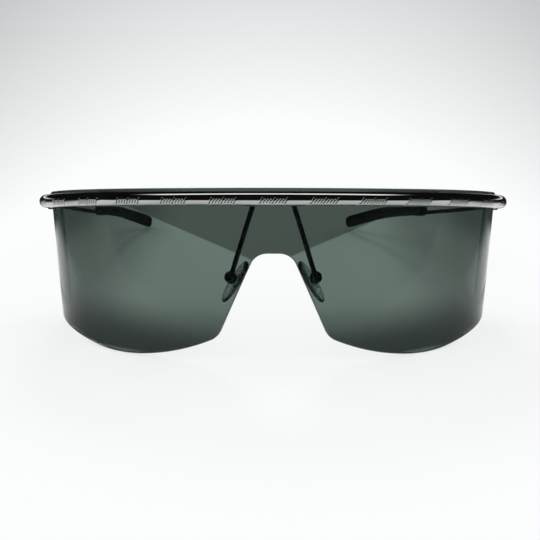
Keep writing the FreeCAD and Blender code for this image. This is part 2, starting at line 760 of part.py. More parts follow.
def make_screws(name, spots, stack):
    # slotted screws from behind the lens into the tube; stack is what lies between head and lens
    made = []
    for i, spot in enumerate(spots):
        tag = "%s%d" % (name, i)
        under = "-(%s) - fitted_gap" % stack
        shank = rod_at(tag + "Shank", spot, "screw_diameter",
                       stack + " + fitted_gap + lens_thickness + bar_lens_gap + screw_bite", under)
        head = rod_at(tag + "Head", spot, "screw_head_diameter", "screw_head_height",
                      under + " - screw_head_height")
        slot = box_at(tag + "Slot", spot, "2 * screw_head_diameter", "driver_slot", "screw_head_height",
                      under + " - 1.5 * screw_head_height")
        made.append(cut(tag, joined(tag + "Turned", shank, head), slot))
    return grouped(name, *made)


def make_rings(name, spots, outer, inner, height, lift):
    made = []
    for i, spot in enumerate(spots):
        tag = "%s%d" % (name, i)
        disc = rod_at(tag + "Disc", spot, outer, height, lift)
        hole = drill(tag + "Hole", spot, inner, height, lift)
        made.append(cut(tag, disc, hole))
    return grouped(name, *made)


def curved_strip(name, outside, thickness, reach, height):
    # a strip bent to the lens's tapered front curve
    angle = "2 * asin((%s) / lens_front_radius)" % reach
    start = place(vec(0, number("lens_front_radius"), -number(height) / 2),
                  turn(upright, -90 - number(angle) / 2))
    flare = "%s / 2 * tan(lens_taper_angle)" % height
    block = primitive("Cone", name + "Block", start, Radius1="%s - %s" % (outside, flare),
                      Radius2="%s + %s" % (outside, flare), Height=height, Angle=angle)
    inside = "%s - %s" % (outside, thickness)
    core = primitive("Cone", name + "Hollow", start, Radius1="%s - %s" % (inside, flare),
                     Radius2="%s + %s" % (inside, flare), Height=height)
    return cut(name, block, core)


def pad_place(side):
    # origin in the pad box, x along the rocking axis, y up the pad, z towards the nose
    basis = turn(vec(0, -side, 0), upright, vec(-side, 0, 0), "ZXY")
    splay = turn(upright, -side * number("pad_splay_angle"))
    lean = turn(vec(0, 1, 0), -side * number("pad_lean_angle"))
    at = vec(side * number("box_reach"), number("box_depth"), -number("box_drop"))
    return place(at, lean.multiply(splay).multiply(basis))


def make_bridge():
    plate = curved_strip("BridgePlate", "lens_front_radius - %s - gasket_thickness" % lensWall,
                         "plate_thickness", "plate_reach", "plate_height")
    solids, tools = [plate], []
    for tag, side in sides:
        frame = pad_place(side)
        box = frame.Base
        reach = number("arm_root_reach")
        inner = number("lens_front_radius - %s - gasket_thickness - plate_thickness" % lensWall)
        inner += number("arm_root_rise * tan(lens_taper_angle)")
        back = number("lens_front_radius") - math.sqrt(inner ** 2 - reach ** 2)
        root = vec(side * reach, back + number("arm_root_setback"), number("arm_root_rise"))
        run = box - root
        along = place(root, turn(upright, run))
        wire = primitive("Cylinder", "Arm_" + tag, along, Radius="arm_diameter / 2")
        wire.Height = run.Length
        top = primitive("Sphere", "ArmTop_" + tag, place(root, turn()), Radius="arm_diameter / 2")
        solids += [wire, top, primitive("Sphere", "PadBox_" + tag, frame, Radius="box_diameter / 2")]
        slot = "tab_thickness + 2 * tab_gap"
        deep = "tab_radius + tab_room"
        low = place(vec(0, -number("box_diameter") / 2 + number(deep) / 2, 0), turn())
        tools.append(box_at("PadSlot_" + tag, frame.multiply(low), slot, "box_diameter + " + deep,
                            "box_diameter + " + deep, "-(%s)" % deep))
        across = frame.multiply(place(vec(), crosswise))
        tools.append(drill("PadBore_" + tag, across, "pad_screw_diameter + 2 * fitted_gap",
                           "box_diameter", "-box_diameter / 2"))
        tools.append(rod_at("PadSink_" + tag, across, "pad_screw_head + 2 * fitted_gap", "box_diameter",
                            "box_diameter / 2 - pad_screw_sink - pad_screw_head_height - fitted_gap"))
        stack = "gasket_thickness + plate_thickness"
        tools.append(drill("PlateHole_" + tag, bridge_station(side), "screw_diameter + 2 * running_gap",
                           stack, "-(%s)" % stack))
    return cut("nose_bridge", joined("BridgeBrazed", *solids), *tools)


def make_gasket():
    strip = curved_strip("GasketStrip", "lens_front_radius - " + lensWall, "gasket_thickness",
                         "plate_reach", "plate_height")
    holes = [drill("GasketHole_" + tag, bridge_station(side), "lens_hole_diameter",
                   "gasket_thickness", "-gasket_thickness") for tag, side in sides]
    return cut("bridge_gasket", strip, *holes)


def core_solid(name, side):
    lift = seatRadius + " + core_plate_cover"
    eye = rod_at(name + "Eye", place(vec(), crosswise), "2 * tab_radius", "tab_thickness",
                 "-tab_thickness / 2")
    neck = box_at(name + "Neck", place(), "tab_thickness", "1.5 * tab_radius", lift)
    behind = place(vec(-side * number("pad_setback") / 2, 0, 0), turn())
    plate = box_at(name + "Plate", behind, "core_plate_width", "core_plate_length",
                   "core_plate_thickness", lift)
    return joined(name + "Solid", eye, neck, plate)


def make_core(name, side):
    hole = drill(name + "Hole", place(vec(), crosswise), "pad_screw_diameter + 2 * running_gap",
                 "tab_thickness", "-tab_thickness / 2")
    return cut(name, core_solid(name, side), hole)


def make_pad(name, side):
    corner = vec(-side * number("pad_setback"), -number("pad_shift"), number(padBack))
    lower = place(corner, turn(upright, 90))
    outline = primitive("Ellipse", name + "Outline", lower,
                        MajorRadius="pad_length / 2", MinorRadius="pad_width / 2")
    block = doc.addObject("Part::Extrusion", name + "Block")
    block.Base = outline
    block.DirMode = "Normal"
    block.Solid = True
    bind(block, LengthFwd="pad_thickness")
    doc.recompute()
    soft = doc.addObject("Part::Fillet", name + "Soft")
    soft.Base = block
    radius = number("pad_edge_radius")
    rims = [i + 1 for i, e in enumerate(block.Shape.Edges) if e.Length > number("pad_length")]
    soft.Edges = [(i, radius, radius) for i in rims]
    dish = primitive("Sphere", name + "Dish", Radius=seatRadius)
    return cut(name, soft, core_solid(name + "Cavity", side), dish)


def make_pad_screw(name):
    across = place(vec(), crosswise)
    top = "box_diameter / 2 - pad_screw_sink"
    shank = rod_at(name + "Shank", across, "pad_screw_diameter", "box_diameter - 3 * pad_screw_sink",
                   "-box_diameter / 2 + 2 * pad_screw_sink")
    head = rod_at(name + "Head", across, "pad_screw_head", "pad_screw_head_height",
                  top + " - pad_screw_head_height")
    slot = box_at(name + "Slot", across, "2 * pad_screw_head", "pad_screw_slot", "pad_screw_head_height",
                  top + " - pad_screw_head_height / 2")
    return cut(name, joined(name + "Turned", shank, head), slot)


# build everything about its own origin
front = [make_lens(), make_bar(), make_bridge(), make_gasket()]
front.append(make_screws("bridge_screws", stations[:2], "gasket_thickness + plate_thickness"))
standoff = "washer_diameter ^ 2 / 8 / (lens_side_radius - lens_thickness) + fitted_gap / 2"
front.append(make_screws("end_screws", stations[2:], "washer_thickness + " + standoff))
front.append(make_rings("end_washers", stations[2:], "washer_diameter", "screw_diameter + 2 * running_gap",
                        "washer_thickness", "-washer_thickness - (%s)" % standoff))
front.append(make_rings("lens_sleeves", stations, "lens_hole_diameter - 2 * fitted_gap",
                        "screw_diameter + 2 * fitted_gap", "lens_thickness - 2 * fitted_gap", "fitted_gap"))
placed = [(thing, place()) for thing in front]
for tag, side in sides:
    hinge = place(vec(side * number(hingeX), number(hingeY), 0), turn())
    placed += [(make_lug(tag + "_hinge_lug"), hinge), (make_hinge_screw(tag + "_hinge_screw"), hinge)]
    fold = number("temple_toe_angle + %s_fold_angle" % tag)
    opened = hinge.multiply(place(vec(), turn(upright, side * fold)))
    placed += [(make_blade(tag + "_temple_blade"), opened), (make_tip(tag + "_temple_tip", side), opened)]
    seat = pad_place(side)
    placed += [(make_pad(tag + "_nose_pad", side), seat), (make_core(tag + "_pad_core", side), seat),
               (make_pad_screw(tag + "_pad_screw"), seat)]
doc.recompute()


def stand():
    # tilt the glasses until the lens's lobes and the lower temple tip stand on one floor
    lens = placed[0][0].Shape.tessellate(fineness)[0]
    tips = []
    for thing, where in placed:
        if thing.Name.endswith("_temple_tip"):
            tips += [where.multVec(at) for at in thing.Shape.tessellate(fineness)[0]]
    low, high = 0.0, 30.0  # degrees, halved until they meet
    for _ in range(40):
        angle = (low + high) / 2
        tilt = turn(vec(1, 0, 0), -angle)
        lensLow = min(tilt.multVec(at).z for at in lens)
        if min(tilt.multVec(at).z for at in tips) > lensLow:
            low = angle
        else:
            high = angle
    return place(vec(), tilt), lensLow


tilt, floor = stand()
spread = []
for thing, where in placed:
    spread += [tilt.multVec(where.multVec(at)) for at in thing.Shape.tessellate(fineness)[0]]
xs, ys = [at.x for at in spread], [at.y for at in spread]
middle = vec((min(xs) + max(xs)) / 2, (min(ys) + max(ys)) / 2, floor)
rest = place(-middle, turn()).multiply(tilt)
for thing, where in placed:
    thing.Placement = rest.multiply(where)
    thing.Label = thing.Name
doc.recompute()

faults = [item.Name for item in doc.Objects if "Invalid" in item.State or "Error" in item.State]
for thing, where in placed:
    if thing.Shape.isNull() or not thing.Shape.isValid() or not thing.Shape.Solids:
        faults.append(thing.Label)
if faults:
    raise SystemExit("not built: " + ", ".join(faults))

os.makedirs("parts", exist_ok=True)
for thing, where in placed:
    thing.Shape.exportStep("parts/%s.step" % thing.Label)
    print("%-20s solids %d volume %.3f" % (thing.Label, len(thing.Shape.Solids), thing.Shape.Volume))
print("tilt %.4f" % math.degrees(tilt.Rotation.Angle), "middle", middle)
print("size", max(xs) - min(xs), max(ys) - min(ys), max(at.z for at in spread) - floor)
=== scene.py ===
import json
import math

import bmesh
import bpy
from mathutils import Matrix, Vector

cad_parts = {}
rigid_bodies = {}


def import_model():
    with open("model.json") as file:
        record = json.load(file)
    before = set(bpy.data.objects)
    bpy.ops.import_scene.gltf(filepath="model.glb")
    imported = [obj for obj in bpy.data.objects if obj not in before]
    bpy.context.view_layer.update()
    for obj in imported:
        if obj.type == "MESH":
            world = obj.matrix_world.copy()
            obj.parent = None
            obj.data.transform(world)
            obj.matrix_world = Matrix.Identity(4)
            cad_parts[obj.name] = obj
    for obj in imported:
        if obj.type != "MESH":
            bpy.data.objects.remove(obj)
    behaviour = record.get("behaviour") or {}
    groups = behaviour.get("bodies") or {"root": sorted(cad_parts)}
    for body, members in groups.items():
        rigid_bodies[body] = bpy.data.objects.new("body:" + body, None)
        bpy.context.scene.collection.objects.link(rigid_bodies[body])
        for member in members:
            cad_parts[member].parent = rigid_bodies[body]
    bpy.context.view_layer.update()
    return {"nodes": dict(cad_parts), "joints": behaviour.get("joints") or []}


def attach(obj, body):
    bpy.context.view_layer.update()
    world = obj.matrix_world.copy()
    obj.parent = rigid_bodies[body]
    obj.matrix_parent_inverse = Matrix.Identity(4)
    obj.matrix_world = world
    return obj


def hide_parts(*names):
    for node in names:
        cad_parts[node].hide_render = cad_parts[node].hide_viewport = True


for thing in list(bpy.data.objects):
    bpy.data.objects.remove(thing)
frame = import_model()
joints = {joint["name"]: joint for joint in frame["joints"]}
print("frame loaded:", len(frame["nodes"]), "nodes")

# shapes are drawn in millimetres as the glasses are worn: X right, Y back, Z up, the tube's axis at Z 0
# and the lens's front face through the origin; toRow tilts them to where the frame stands
plan = {"frontRadius": 99.0, "sideRadius": 48.0, "blend": 25.0, "taper": 5.0, "hinge": (71.4235, 59.428)}
blend, taper = math.radians(plan["blend"]), math.radians(plan["taper"])
sideCentre = ((plan["frontRadius"] - plan["sideRadius"]) * math.sin(blend),
              plan["frontRadius"] - (plan["frontRadius"] - plan["sideRadius"]) * math.cos(blend))
upward = Vector((0, 0, 1))
hinge = joints["right_temple_fold"]
tilt = math.atan2(hinge["axis"][1], hinge["axis"][2])
toRow = (Matrix.Translation(hinge["pos_m"]) @ Matrix.Rotation(-tilt, 4, "X") @ Matrix.Scale(0.001, 4)
         @ Matrix.Translation((-plan["hinge"][0], -plan["hinge"][1], 0)))


def makePiece(name, points, faces, body, materials, slots=None):
    mesh = bpy.data.meshes.new(name)
    mesh.from_pydata([toRow @ Vector(point) for point in points], [], faces)
    for face in mesh.polygons:
        face.use_smooth = True
    if slots:
        mesh.polygons.foreach_set("material_index", slots)
    piece = bpy.data.objects.new(name, mesh)
    bpy.context.scene.collection.objects.link(piece)
    for material in materials:
        mesh.materials.append(material)
    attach(piece, body)
    return piece


class Wire:
    # an output socket that takes part in sums

    def __init__(self, graph, socket):
        self.graph, self.socket = graph, socket

    def maths(self, operation, *values):
        sockets = dict(enumerate(values))
        return self.graph.add("ShaderNodeMath", {"operation": operation}, sockets)

    def __add__(self, other):
        return self.maths("ADD", self, other)

    def __sub__(self, other):
        return self.maths("SUBTRACT", self, other)

    def __rsub__(self, other):
        return self.maths("SUBTRACT", other, self)

    def __mul__(self, other):
        return self.maths("MULTIPLY", self, other)

    def __truediv__(self, other):
        return self.maths("DIVIDE", self, other)

    def __rtruediv__(self, other):
        return self.maths("DIVIDE", other, self)

    def __abs__(self):
        return self.maths("ABSOLUTE", self)

    def atLeast(self, other):
        return self.maths("MAXIMUM", self, other)

    def atMost(self, other):
        return self.maths("MINIMUM", self, other)

    __radd__ = __add__
    __rmul__ = __mul__


class Graph:
    # the nodes of one material or of the world

    def __init__(self, owner):
        owner.use_nodes = True
        self.tree = owner.node_tree
        self.tree.nodes.clear()

    def add(self, kind, settings=None, sockets=None, output=0):
        node = self.tree.nodes.new(kind)
        for key, value in (settings or {}).items():
            setattr(node, key, value)
        for key, value in (sockets or {}).items():
            if isinstance(value, Wire):
                self.tree.links.new(value.socket, node.inputs[key])
            else:
                node.inputs[key].default_value = value
        return Wire(self, node.outputs[output]) if len(node.outputs) else node

    def mix(self, share, first, second):
        return self.add("ShaderNodeMix", {"data_type": "RGBA"}, {0: share, 6: first, 7: second}, 2)

    def step(self, value, low, high):
        # 0 below low, 1 above high, smooth between
        return self.add("ShaderNodeMapRange", {"interpolation_type": "SMOOTHSTEP"},
                        {0: value, 1: low, 2: high})

    def noise(self, scale, detail, stretch=None):
        place = self.add("ShaderNodeTexCoord", output="Object")
        if stretch:
            place = self.add("ShaderNodeMapping", None, {"Vector": place, "Scale": stretch})
        return self.add("ShaderNodeTexNoise", None, {"Vector": place, "Scale": scale, "Detail": detail})

    def bump(self, height, strength, distance):
        return self.add("ShaderNodeBump", None,
                        {"Strength": strength, "Distance": distance, "Height": height})

    def attribute(self, name):
        return self.add("ShaderNodeAttribute", {"attribute_name": name}, output="Fac")

    def rayKind(self, kind):
        return self.add("ShaderNodeLightPath", output="Is " + kind + " Ray")

    def mirrorRay(self):
        # a ray that glanced off, not one that passed through glass
        return self.rayKind("Glossy") * (1 - self.rayKind("Transmission"))

    def surface(self, sockets):
        return self.add("ShaderNodeBsdfPrincipled", None, sockets)

    def blendOf(self, share, first, second):
        return self.add("ShaderNodeMixShader", None, {0: share, 1: first, 2: second})

    def lampsThrough(self, shader, tint):
        # lamps shine through, tinted
        through = self.add("ShaderNodeBsdfTransparent", None, {"Color": tint})
        return self.blendOf(self.rayKind("Shadow"), shader, through)

    def finish(self, shader):
        self.add("ShaderNodeOutputMaterial", None, {0: shader})


def newFinish(name):
    made = bpy.data.materials.new(name)
    return made, Graph(made)


def colour(red, green, blue):
    return (red, green, blue, 1.0)


finishes = {}

# finishes whose colour, gloss and relief follow one fine grain
grained = {
    "lensEdge": {"name": "lens_edge", "grain": (900, 2), "rough": 0.1, "vary": 0.1,
                 "dark": colour(0.004, 0.006, 0.005), "pale": colour(0.012, 0.017, 0.015),
                 "fixed": {"Coat Weight": 0.3}},
    "lensRear": {"name": "lens_rear_edge", "grain": (900, 2), "rough": 0.05, "vary": 0.05,
                 "dark": colour(0.24, 0.27, 0.26), "pale": colour(0.32, 0.35, 0.34),
                 "fixed": {"IOR": 1.02, "Transmission Weight": 1.0}},
    "brushed": {"name": "brushed_metal", "grain": (1500, 3, (1.0, 0.03, 1.0)), "rough": 0.16, "vary": 0.14,
                "dark": colour(0.13, 0.132, 0.13), "pale": colour(0.21, 0.213, 0.21),
                "bump": (0.12, 0.0001), "fixed": {"Metallic": 1.0}},
    "lacquer": {"name": "black_lacquer", "grain": (700, 2), "rough": 0.08, "vary": 0.06,
                "dark": colour(0.006, 0.006, 0.007), "pale": colour(0.014, 0.014, 0.015),
                "bump": (0.06, 0.0002), "fixed": {"Coat Weight": 0.3, "Coat Roughness": 0.05}},
    "steel": {"name": "turned_steel", "grain": (2400, 2), "rough": 0.2, "vary": 0.15,
              "dark": colour(0.50, 0.50, 0.50), "pale": colour(0.62, 0.62, 0.61),
              "bump": (0.1, 0.0001), "fixed": {"Metallic": 1.0}},
    "core": {"name": "clear_core", "grain": (500, 2), "rough": 0.08, "vary": 0.1,
             "dark": colour(0.78, 0.82, 0.80), "pale": colour(0.88, 0.91, 0.89),
             "fixed": {"IOR": 1.49, "Transmission Weight": 1.0}},
    "milky": {"name": "milky_plastic", "grain": (600, 2), "rough": 0.35, "vary": 0.15,
              "dark": colour(0.42, 0.44, 0.43), "pale": colour(0.55, 0.57, 0.56), "fixed": {}},
}
for key, look in grained.items():
    made, graph = newFinish(look["name"])
    grain = graph.noise(*look["grain"])
    sockets = {"Base Color": graph.mix(grain, look["dark"], look["pale"]),
               "Roughness": grain * look["vary"] + look["rough"]}
    if "bump" in look:
        sockets["Normal"] = graph.bump(grain, *look["bump"])
    graph.finish(graph.surface({**sockets, **look["fixed"]}))
    finishes[key] = made

# tinted lens: dark grey-green, with faint smears
lensTint = {"colour": colour(0.148, 0.197, 0.172), "shade": colour(0.33, 0.38, 0.35), "ior": 1.24,
            "smears": (45, 4), "smearStep": (0.5, 0.8), "smearRough": 0.003}
made, graph = newFinish("tinted_lens")
smear = graph.step(graph.noise(*lensTint["smears"]), *lensTint["smearStep"])
glass = graph.surface({"Base Color": lensTint["colour"], "Roughness": smear * lensTint["smearRough"],
                       "IOR": lensTint["ior"], "Transmission Weight": 1.0})
graph.finish(graph.lampsThrough(glass, lensTint["shade"]))
finishes["lens"] = made

# dark chrome of the tube and the hinge: drawn lengthwise, a little worn, darker in the strokes
chrome = {"clean": colour(0.50, 0.505, 0.485), "worn": colour(0.56, 0.56, 0.54),
          "stroke": colour(0.11, 0.11, 0.105), "drawn": (260, 4, (0.12, 1.0, 1.0)), "wear": (90, 5),
          "wearStep": (0.42, 0.75), "rough": 0.02, "drawnRough": 0.035, "wornRough": 0.03,
          "strokeRough": 0.15, "bump": (0.05, 0.0002)}
made, graph = newFinish("dark_chrome")
drawn = graph.noise(*chrome["drawn"])
wear = graph.step(graph.noise(*chrome["wear"]), *chrome["wearStep"])
mark = graph.attribute("mark")
metal = graph.mix(wear, chrome["clean"], chrome["worn"])
rough = drawn * chrome["drawnRough"] + wear * chrome["wornRough"] + mark * chrome["strokeRough"]
graph.finish(graph.surface({
    "Base Color": graph.mix(mark, metal, chrome["stroke"]), "Metallic": 1.0,
    "Roughness": rough + chrome["rough"], "Normal": graph.bump(drawn, *chrome["bump"])}))
finishes["chrome"] = made

# polished black plastic of the temple tips, with specks of dust
plastic = {"dark": colour(0.007, 0.007, 0.008), "pale": colour(0.016, 0.016, 0.017),
           "dust": colour(0.12, 0.12, 0.12), "swirl": (180, 5), "specks": (2600, 1),
           "speckStep": (0.72, 0.8), "dustShare": 0.1, "rough": 0.14, "swirlRough": 0.12,
           "dustRough": 0.2, "bump": (0.04, 0.0004)}
made, graph = newFinish("black_plastic")
swirl = graph.noise(*plastic["swirl"])
dust = graph.step(graph.noise(*plastic["specks"]), *plastic["speckStep"])
clean = graph.mix(swirl, plastic["dark"], plastic["pale"])
graph.finish(graph.surface({
    "Base Color": graph.mix(dust * plastic["dustShare"], clean, plastic["dust"]),
    "Roughness": swirl * plastic["swirlRough"] + dust * plastic["dustRough"] + plastic["rough"],
    "Coat Weight": 0.5, "Coat Roughness": 0.08, "Normal": graph.bump(swirl, *plastic["bump"])}))
finishes["plastic"] = made

# clear silicone of the nose pads, with painted shade round the rim: the rim is painted dark where
# refraction darkens a clear pad's edge
silicone = {"dark": colour(0.52, 0.56, 0.54), "pale": colour(0.62, 0.66, 0.64),
            "rim": colour(0.10, 0.12, 0.11), "shade": colour(0.85, 0.88, 0.86), "cloud": (420, 3),
            "rough": 0.03, "ior": 1.41, "bump": (0.04, 0.0002)}
made, graph = newFinish("clear_silicone")
cloud = graph.noise(*silicone["cloud"])
inside = graph.mix(cloud, silicone["dark"], silicone["pale"])
clear = graph.surface({
    "Base Color": graph.mix(graph.attribute("rim"), inside, silicone["rim"]),
    "Roughness": cloud * silicone["rough"], "IOR": silicone["ior"], "Transmission Weight": 1.0,
    "Normal": graph.bump(cloud, *silicone["bump"])})
graph.finish(graph.lampsThrough(clear, silicone["shade"]))
finishes["silicone"] = made
print("finishes made:", len(finishes))

nodeFinish = {
    "chrome": ["brow_bar", "left_hinge_lug", "right_hinge_lug"],
    "brushed": ["left_temple_blade", "right_temple_blade"],
    "lacquer": ["nose_bridge", "left_pad_screw", "right_pad_screw"],
    "core": ["left_pad_core", "right_pad_core"],
    "plastic": ["left_temple_tip", "right_temple_tip"],
    "steel": ["bridge_screws", "end_screws", "end_washers", "left_hinge_screw", "right_hinge_screw"],
    "milky": ["lens_sleeves", "bridge_gasket"],
    "lens": ["shield_lens"],
    "silicone": ["left_nose_pad", "right_nose_pad"],
}
for finish, nodes in nodeFinish.items():
    for node in nodes:
        frame["nodes"][node].data.materials.clear()
        frame["nodes"][node].data.materials.append(finishes[finish])

# lens in one piece: its outline is drawn flat and wrapped round the plan
lens = {"thickness": 2.0, "rise": 2.85, "drop": 43.2, "run": 94.3, "lobeRun": 41.8, "lobeRadius": 66.0,
        "tail": 12.3, "noseCorner": 5.5, "rearCorner": 9.0, "notchDrop": 14.8, "notchHalf": 4.9,
        "notchLean": 25.3, "notchCorner": 5.0, "edge": 0.22, "edgeSteps": 3, "edgeAngle": 50.0,
        "hold": 0.35, "rows": 60, "step": 0.45, "apart": 0.004}


def onLens(run, height, depth=0.0):
    # a spot of the flat outline on the lens, some way in from its front face
    side = -1 if run < 0 else 1
    run = abs(run)
    if run <= plan["frontRadius"] * blend:
        centre, radius, angle = (0, plan["frontRadius"]), plan["frontRadius"], run / plan["frontRadius"]
    else:
        centre, radius = sideCentre, plan["sideRadius"]
        angle = blend + (run - plan["frontRadius"] * blend) / radius
    reach = radius + height * math.tan(taper) - depth * math.cos(taper)
    return (side * (centre[0] + math.sin(angle) * reach), centre[1] - math.cos(angle) * reach,
            height + depth * math.sin(taper))


def arcPoints(centre, radius, start, end, step):
    count = max(2, math.ceil(abs(math.radians(end - start)) * radius / step))
    angles = [math.radians(start + (end - start) * i / count) for i in range(count + 1)]
    return [(centre[0] + radius * math.cos(a), centre[1] + radius * math.sin(a)) for a in angles]


def linePoints(start, end, step):
    count = max(1, math.ceil(math.dist(start, end) / step))
    return [tuple(a + (b - a) * i / count for a, b in zip(start, end)) for i in range(count + 1)]


def lensOutline():
    # lower edge of the right half, from the middle of the notch to the foot of the rear edge
    lean, climb = math.radians(lens["notchLean"]), math.radians(lens["tail"])
    small, corner = lens["notchCorner"], lens["noseCorner"]
    lobe, rear = lens["lobeRadius"], lens["rearCorner"]
    top = -lens["notchDrop"]
    along = Vector((math.sin(lean), -math.cos(lean)))
    across = Vector((math.cos(lean), math.sin(lean)))
    smallAt = Vector((lens["notchHalf"] - small * math.tan((math.pi / 2 - lean) / 2), top - small))
    lobeAt = Vector((lens["lobeRun"], lobe - lens["drop"]))
    base = Vector((lens["notchHalf"], top)) + across * corner - lobeAt
    dot = base.dot(along)
    run = math.sqrt(dot ** 2 - base.length_squared + (lobe - corner) ** 2) - dot
    noseAt = lobeAt + base + along * run
    toNose = math.degrees(math.atan2(noseAt.y - lobeAt.y, noseAt.x - lobeAt.x)) % 360
    toTail = 270 + lens["tail"]
    down = Vector((math.sin(climb), -math.cos(climb)))
    leave = lobeAt + down * lobe
    rise = Vector((math.cos(climb), math.sin(climb)))
    rearAt = leave + rise * ((lens["run"] - rear - leave.x + rear * down.x) / rise.x) - down * rear
    step = lens["step"]
    points = linePoints((0, top), (smallAt.x, top), step)
    points += arcPoints(smallAt, small, 90, lens["notchLean"], step / 2)
    points += linePoints(smallAt + across * small, noseAt - across * corner, step)
    points += arcPoints(noseAt, corner, 180 + lens["notchLean"], toNose, step / 2)
    points += arcPoints(lobeAt, lobe, toNose, toTail, step)
    points += linePoints(leave, rearAt + down * rear, step)
    points += arcPoints(rearAt, rear, toTail, 360, step / 2)
    kept = [points[0]]
    for point in points[1:]:
        if point[0] > kept[-1][0] + lens["apart"]:
            kept.append(tuple(point))
    return kept


def makeLens():
    half = lensOutline()
    feet = [(-run, height) for run, height in reversed(half[1:])] + half
    rows = lens["rows"]
    points = []
    for depth in (0.0, lens["thickness"]):
        for run, height in feet:
            span = lens["rise"] - height
            inner = span - 2 * lens["hold"]
            rises = [0] + [lens["hold"] + inner * j / (rows - 2) for j in range(rows - 1)] + [span]
            points += [onLens(run, height + rise, depth) for rise in rises]
    tall, wide = rows + 1, len(feet)

    def at(depth, column, row):
        return (depth * wide + column) * tall + row

    faces, slots = [], []
    for i in range(wide - 1):
        for j in range(rows):
            faces.append((at(0, i, j), at(0, i + 1, j), at(0, i + 1, j + 1), at(0, i, j + 1)))
            faces.append((at(1, i, j), at(1, i, j + 1), at(1, i + 1, j + 1), at(1, i + 1, j)))
            slots += [0, 0]
        faces.append((at(0, i, 0), at(1, i, 0), at(1, i + 1, 0), at(0, i + 1, 0)))
        faces.append((at(0, i, rows), at(0, i + 1, rows), at(1, i + 1, rows), at(1, i, rows)))
        slots += [1, 1]
    last = wide - 1
    for j in range(rows):
        faces.append((at(0, last, j), at(1, last, j), at(1, last, j + 1), at(0, last, j + 1)))
        faces.append((at(0, 0, j), at(0, 0, j + 1), at(1, 0, j + 1), at(1, 0, j)))
        slots += [2, 2]
    coats = [finishes["lens"], finishes["lensEdge"], finishes["lensRear"]]  # slots 0, 1 and 2
    piece = makePiece("lens_shell", points, faces, "front", coats, slots)
    edge = piece.modifiers.new("edge", "BEVEL")
    edge.width, edge.segments, edge.limit_method = lens["edge"] / 1000, lens["edgeSteps"], "ANGLE"
    edge.angle_limit, edge.use_clamp_overlap = math.radians(lens["edgeAngle"]), False
    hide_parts("shield_lens")


makeLens()
print("lens made")

# brow tube with its engraved strokes: short ones, and a long one at every fourth
tube = {"radius": 1.95, "bore": 1.15, "flat": 1.75, "offset": 1.87, "tail": 4.0, "bandSides": 28,
        "restSides": 48, "boreEvery": 14}
strokes = {"pitch": 13.4, "groups": 6, "count": 9, "every": 4, "gap": 0.82, "lean": 0.4, "width": 0.12,
           "soft": 0.12, "depth": 0.11, "middle": -22.0, "long": 0.95, "short": 0.5, "half": 1.1,
           "margin": 0.8, "fine": 0.075, "coarse": 0.7}


def alongTube(run):
    # the tube's axis and its outward direction, by distance from the middle
    side = -1 if run < 0 else 1
    run = abs(run)
    frontR, sideR = plan["frontRadius"] + tube["offset"], plan["sideRadius"] + tube["offset"]
    if run <= frontR * blend:
        centre, radius, angle, back = (0, plan["frontRadius"]), frontR, run / frontR, 0
    else:
        centre, radius = sideCentre, sideR
        angle = blend + (run - frontR * blend) / sideR
        back = max(0, angle - math.pi / 2) * sideR
        angle = min(angle, math.pi / 2)
    out = Vector((side * math.sin(angle), -math.cos(angle), 0))
    axis = Vector((side * centre[0], centre[1] + back, 0)) + out * radius
    return axis, out


def strokeDepth(run, height):
    # 1 in the middle of an engraved stroke, 0 outside
    group = round(run / strokes["pitch"])
    if abs(group) > strokes["groups"]:
        return 0.0
    local = (run - group * strokes["pitch"] - height * strokes["lean"]) / strokes["gap"]
    index = round(local)
    if abs(index) > strokes["count"] // 2:
        return 0.0
    reach = strokes["short"] if index % strokes["every"] else strokes["long"]
    away = max(abs(local - index) * strokes["gap"], abs(height) - reach + strokes["width"])
    share = min(1, max(0, (strokes["width"] + strokes["soft"] - away) / strokes["soft"]))
    return share * share * (3 - 2 * share)


def tubeStations():
    end = ((plan["frontRadius"] + tube["offset"]) * blend
           + (plan["sideRadius"] + tube["offset"]) * (math.pi / 2 - blend) + tube["tail"])
    half = strokes["gap"] * (strokes["count"] // 2) + strokes["margin"]
    runs, at = [], 0.0
    while at < end:
        runs.append(at)
        group = round(at / strokes["pitch"])
        near = group <= strokes["groups"] and abs(at - group * strokes["pitch"]) < half
        at += strokes["fine"] if near else strokes["coarse"]
    runs.append(end)
    return [-run for run in reversed(runs[1:])] + runs


def ringFaces(first, rings, count):
    # quads between neighbouring rings of points
    faces = []
    for start in range(first, first + (rings - 1) * count, count):
        for j in range(count):
            a, b = start + j, start + (j + 1) % count
            faces.append((a, a + count, b + count, b))
    return faces


